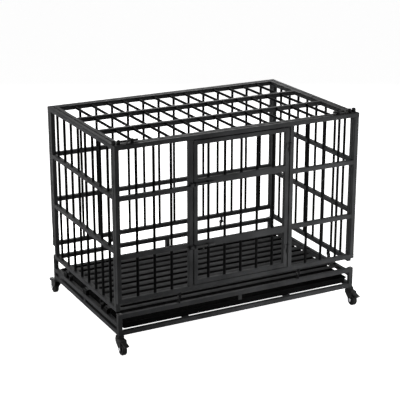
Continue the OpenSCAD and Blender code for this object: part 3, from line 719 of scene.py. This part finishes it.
def bentStrip(reach):
    inner, out, r, bend = keeper["inner"], keeperSide, keeper["shoulder"], keeper["bend"]
    top = reach + keeper["wall"]
    return ([(-out, 0), (-inner, 0)] + arc((-inner + bend, reach - bend), bend, 180, 90, 4)
            + arc((inner - bend, reach - bend), bend, 90, 0, 4) + [(inner, 0), (out, 0)]
            + arc((out - r, top - r), r, 0, 90, 6) + arc((-out + r, top - r), r, 90, 180, 6))


# strip that stands on a face at spot, reaching out, with a bead along both feet
def setKeeper(bm, size, spot, turned, across, out):
    slab(bm, bentStrip(size["reach"]), -size["half"], size["half"], moveTo(*spot) @ turned, keeper["bevel"])
    for t in (-1, 1):
        corner = Vector(spot) + across * t * keeperSide
        seamBead(bm, corner, axisX, across * t, out, size["bead"], keeper["bead"])


def lidKeepers():
    bm = bmesh.new()
    for s in (-1, 1):
        setKeeper(bm, lidKeeper, (s * crate["postX"], -crate["sideY"], topFace), alongX, axisY, axisZ)
    finishPiece("lidKeepers", bm, "crate", "frame_coat", ["lid_keepers"], sharp=40)


def doorKeepers():
    bm = bmesh.new()
    # strip plane turned so that it reaches to the front
    turned = Matrix(((0, 0, 1, 0), (0, -1, 0, 0), (1, 0, 0, 0), (0, 0, 0, 1)))
    for z in sorted(doorLatch["heights"].values()):
        setKeeper(bm, doorKeeper, (-crate["jambX"], frontFace, z), turned, axisZ, -axisY)
    finishPiece("doorKeepers", bm, "crate", "frame_coat", ["door_keepers"], sharp=40)


lidKeepers()
doorKeepers()


# door hinges: two barrels with turned ends on welded plates, the pin in the lower one

hinge = {"x": 212.0, "y": -343.5, "heights": (302.0, 723.5), "r": 5.5, "pin": 3.0, "pinTop": 15.9, "long": 18.0,
         "gap": 0.2, "plateLong": 16.0, "plateY": (2.5, 5.5), "bead": 1.6}


def hingeHalf(name, nodeName, body, up):
    bm = bmesh.new()
    r, pin, tall, gap, (near, far) = (hinge[k] for k in ("r", "pin", "long", "gap", "plateY"))
    rim = [(r - 0.4, gap), (r, gap + 0.4)]
    dome = [(r, tall - 1.2), (r - 0.5, tall + 0.2), (r - 1.6, tall + 1.2), (r - 3.2, tall + 1.8),
            (0, tall + 2.0)]
    way = -1 if up else 1  # upper barrels weld to the door at their left, lower ones to the jamb
    for z in hinge["heights"]:
        place = moveTo(hinge["x"], hinge["y"], z)
        if up:
            bore = pin + 0.05
            lathe(bm, [(0, tall - 1.2), (bore, tall - 1.2), (bore, gap)] + rim + dome, place, 32)
        else:
            top = -hinge["pinTop"]
            stub = [(0, top), (pin - 0.6, top), (pin, top + 0.7), (pin, gap)]
            lathe(bm, stub + rim + dome, place @ alongDown, 32)
        low, high = sorted((0.0, way * hinge["plateLong"]))
        foot, head = (0.6, tall - 0.6) if up else (-tall + 0.6, -0.6)
        slab(bm, [(low, near), (high, near), (high, far), (low, far)], foot, head, place, 0.6)
        edge = Vector((hinge["x"] + way * hinge["plateLong"], frontFace, z + (foot + head) / 2))
        seamBead(bm, edge, axisZ, axisX * way, -axisY, weld["length"], hinge["bead"])
    finishPiece(name, bm, body, "frame_coat", [nodeName], sharp=40)


hingeHalf("doorHingeUpper", "door_hinge_leaves", "door", True)
hingeHalf("doorHingeLower", "jamb_hinge_knuckles", "crate", False)
print("stage: latches and hinges made")


# ground, light and camera

studio = {"groundHalf": 30.0, "ground": 0.93, "groundGlow": 0.93, "skyLight": 0.03}
# place, target, size in metres and power in watts
lamps = {
    "keyRight": ((0.45, -1.0, 0.5), (0.15, -0.3, 0.4), 0.7, 12),
    "fillLeft": ((-2.6, 0.2, 0.42), (-0.5, 0, 0.38), 1.1, 64),
    "rimBack": ((1.5, 2.9, 1.9), (0, 0, 0.65), 1.4, 58),
    "fillBack": ((-0.35, 1.15, 0.5), (0, 0.33, 0.45), 0.8, 11),
}
shot = {"lens": 113.3, "sensor_width": 36.0, "shift_x": -0.0045, "shift_y": -0.0055, "clip_end": 200.0}
shotFrom, shotAt = (-2.285, -4.374, 2.082), (0, 0, 0.448)


# white to the camera, dim as a light; the ground keeps the shadow
def makeGround():
    r = studio["groundHalf"]
    mesh = bpy.data.meshes.new("floor")
    mesh.from_pydata([(-r, -r, 0), (r, -r, 0), (r, r, 0), (-r, r, 0)], [], [(0, 1, 2, 3)])
    floor = bpy.data.objects.new("floor", mesh)
    bpy.context.scene.collection.objects.link(floor)
    material = bpy.data.materials.new("paleFloor")
    material.use_nodes = True
    tree = material.node_tree
    shader = tree.nodes["Principled BSDF"]
    shader.inputs["Base Color"].default_value = (studio["ground"], studio["ground"], studio["ground"], 1.0)
    shader.inputs["Roughness"].default_value = 0.9
    shader.inputs["Specular IOR Level"].default_value = 0.1
    shader.inputs["Emission Color"].default_value = (1.0, 1.0, 1.0, 1.0)
    lift = addNode(tree, "ShaderNodeMath", operation="MULTIPLY")
    lift.inputs[1].default_value = studio["groundGlow"]
    tree.links.new(tree.nodes.new("ShaderNodeLightPath").outputs["Is Camera Ray"], lift.inputs[0])
    tree.links.new(lift.outputs[0], shader.inputs["Emission Strength"])
    mesh.materials.append(material)


def makeSky():
    world = bpy.data.worlds.new("studio")
    bpy.context.scene.world = world
    world.use_nodes = True
    tree = world.node_tree
    sky = tree.nodes["Background"]
    sky.inputs["Color"].default_value = (1.0, 1.0, 1.0, 1.0)
    ray = tree.nodes.new("ShaderNodeLightPath")
    seen = addNode(tree, "ShaderNodeMath", operation="ADD", use_clamp=True)
    through = addNode(tree, "ShaderNodeMath", operation="ADD", use_clamp=True)
    tree.links.new(ray.outputs["Is Camera Ray"], seen.inputs[0])
    tree.links.new(ray.outputs["Is Glossy Ray"], seen.inputs[1])
    tree.links.new(seen.outputs[0], through.inputs[0])
    tree.links.new(ray.outputs["Is Transmission Ray"], through.inputs[1])
    tree.links.new(remap(tree, through.outputs[0], 0.0, 1.0, studio["skyLight"], 1.0), sky.inputs["Strength"])


def addAimed(name, data, place, target):
    item = bpy.data.objects.new(name, data)
    item.location = place
    item.rotation_euler = (Vector(target) - Vector(place)).to_track_quat("-Z", "Y").to_euler()
    bpy.context.scene.collection.objects.link(item)
    return item


makeGround()
makeSky()
for name, (place, target, size, power) in lamps.items():
    lamp = bpy.data.lights.new(name, "AREA")
    lamp.size = size
    lamp.energy = power
    addAimed(name, lamp, place, target)
camera = bpy.data.cameras.new("camera")
for key, value in shot.items():
    setattr(camera, key, value)
bpy.context.scene.camera = addAimed("camera", camera, shotFrom, shotAt)
bpy.context.scene.view_settings.view_transform = "Standard"
print("stage: ground, light and camera set")
